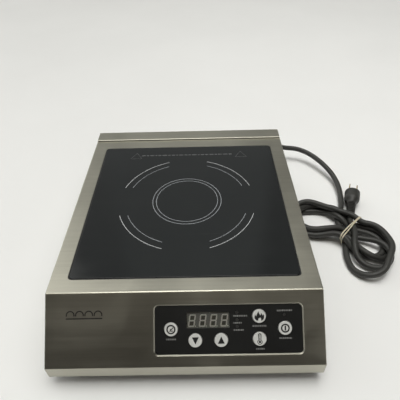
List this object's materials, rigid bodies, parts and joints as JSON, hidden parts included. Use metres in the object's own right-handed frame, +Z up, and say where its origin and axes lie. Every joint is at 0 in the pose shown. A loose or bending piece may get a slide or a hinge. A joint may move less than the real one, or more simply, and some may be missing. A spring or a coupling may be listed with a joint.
{
  "type": "countertop induction cooktop",
  "caption": "Countertop induction cooktop: folded stainless housing, flush black glass with printed rings, sloped key panel with unlit display, rubber feet, mains lead tied in a hank.",
  "frame": {"origin": "on the surface that the feet stand on, under the centre of the housing, lead not counted", "axes": "+X to the right seen from the key panel, +Y from the key panel to the rear panel, +Z up, out of the glass"},
  "size_m": [0.4895, 0.4623, 0.0985],
  "materials": {
    "brushed_stainless": "brushed stainless sheet, grain across the width, light handling marks",
    "galvanised_steel": "zinc-coated sheet, dull",
    "glass_ceramic": "black glass-ceramic, polished, opaque, pale printed rings",
    "silicone_seal": "matt silicone bead",
    "panel_black": "satin black moulded panel with pale printed marks",
    "key_silver": "satin silver moulded keys with black symbols",
    "switch_black": "matt",
    "smoked_window": "smoked clear plastic, gloss",
    "display_grey": "unlit four-digit segment display, pale segments",
    "light_guide_clear": "frosted clear plastic",
    "circuit_board": "green solder mask",
    "copper_winding": "enamelled copper",
    "former_black": "glass-filled moulding, matt",
    "ferrite": "sintered, matt",
    "mica": "matt mica paper",
    "aluminium": "extruded, plain",
    "film_capacitor": "box film capacitor, satin",
    "ribbon_grey": "flat cable, satin",
    "foot_rubber": "matt rubber",
    "plated_steel": "zinc plated",
    "cord_black": "flexible PVC jacket, satin",
    "plated_brass": "nickel-plated brass",
    "elastic_band": "natural rubber band, matt"
  },
  "bodies": {
    "root": {"base_pan": "galvanised_steel", "bridge_rectifier": "former_black", "coil_former": "former_black", "coil_lead": "copper_winding", "coil_winding": "copper_winding", "control_board": "circuit_board", "control_bracket": "galvanised_steel", "control_fascia": "panel_black", "cord_gland": "cord_black", "cord_hank": "cord_black", "cord_lead": "cord_black", "cord_tie": "elastic_band", "display_window": "smoked_window", "fan_frame": "former_black", "ferrite_bar_1": "ferrite", "ferrite_bar_2": "ferrite", "ferrite_bar_3": "ferrite", "ferrite_bar_4": "ferrite", "filter_choke": "copper_winding", "foot_1": "foot_rubber", "foot_2": "foot_rubber", "foot_3": "foot_rubber", "foot_4": "foot_rubber", "foot_screw_1": "plated_steel", "foot_screw_2": "plated_steel", "foot_screw_3": "plated_steel", "foot_screw_4": "plated_steel", "glass_plate": "glass_ceramic", "glass_seal": "silicone_seal", "glass_thermistor": "aluminium", "heatsink": "aluminium", "indicator_light_guide": "light_guide_clear", "led_display": "display_grey", "mica_sheet": "mica", "plug_blade_left": "plated_brass", "plug_blade_right": "plated_brass", "plug_body": "cord_black", "plug_ground_pin": "plated_brass", "power_board": "circuit_board", "power_light_guide": "light_guide_clear", "power_transistor": "former_black", "rear_panel": "brushed_stainless", "resonant_capacitor": "film_capacitor", "ribbon_cable": "ribbon_grey", "smoothing_capacitor": "film_capacitor", "switch_down": "switch_black", "switch_heating": "switch_black", "switch_power": "switch_black", "switch_temperature": "switch_black", "switch_timer": "switch_black", "switch_up": "switch_black", "thermistor_spring": "plated_steel", "top_cover": "brushed_stainless"},
    "fan": {"fan_rotor": "former_black"},
    "key_timer": {"button_timer": "key_silver"},
    "key_down": {"button_down": "key_silver"},
    "key_up": {"button_up": "key_silver"},
    "key_heating": {"button_heating": "key_silver"},
    "key_temperature": {"button_temperature": "key_silver"},
    "key_power": {"button_power": "key_silver"}
  },
  "joints": [
    {"name": "fan_spin", "type": "hinge", "parent": "root", "child": "fan", "pos_m": [-0.085, 0.13, 0.0314], "axis": [0, 0, 1], "continuous": true},
    {"name": "timer_press", "type": "slide", "parent": "root", "child": "key_timer", "axis": [0, 0.6984, -0.7157], "range_m": [0, 0.0006], "stiffness_N_per_m": 500, "springref_m": -0.0006},
    {"name": "down_press", "type": "slide", "parent": "root", "child": "key_down", "axis": [0, 0.6984, -0.7157], "range_m": [0, 0.0006], "stiffness_N_per_m": 500, "springref_m": -0.0006},
    {"name": "up_press", "type": "slide", "parent": "root", "child": "key_up", "axis": [0, 0.6984, -0.7157], "range_m": [0, 0.0006], "stiffness_N_per_m": 500, "springref_m": -0.0006},
    {"name": "heating_press", "type": "slide", "parent": "root", "child": "key_heating", "axis": [0, 0.6984, -0.7157], "range_m": [0, 0.0006], "stiffness_N_per_m": 500, "springref_m": -0.0006},
    {"name": "temperature_press", "type": "slide", "parent": "root", "child": "key_temperature", "axis": [0, 0.6984, -0.7157], "range_m": [0, 0.0006], "stiffness_N_per_m": 500, "springref_m": -0.0006},
    {"name": "power_press", "type": "slide", "parent": "root", "child": "key_power", "axis": [0, 0.6984, -0.7157], "range_m": [0, 0.0006], "stiffness_N_per_m": 500, "springref_m": -0.0006}
  ]
}
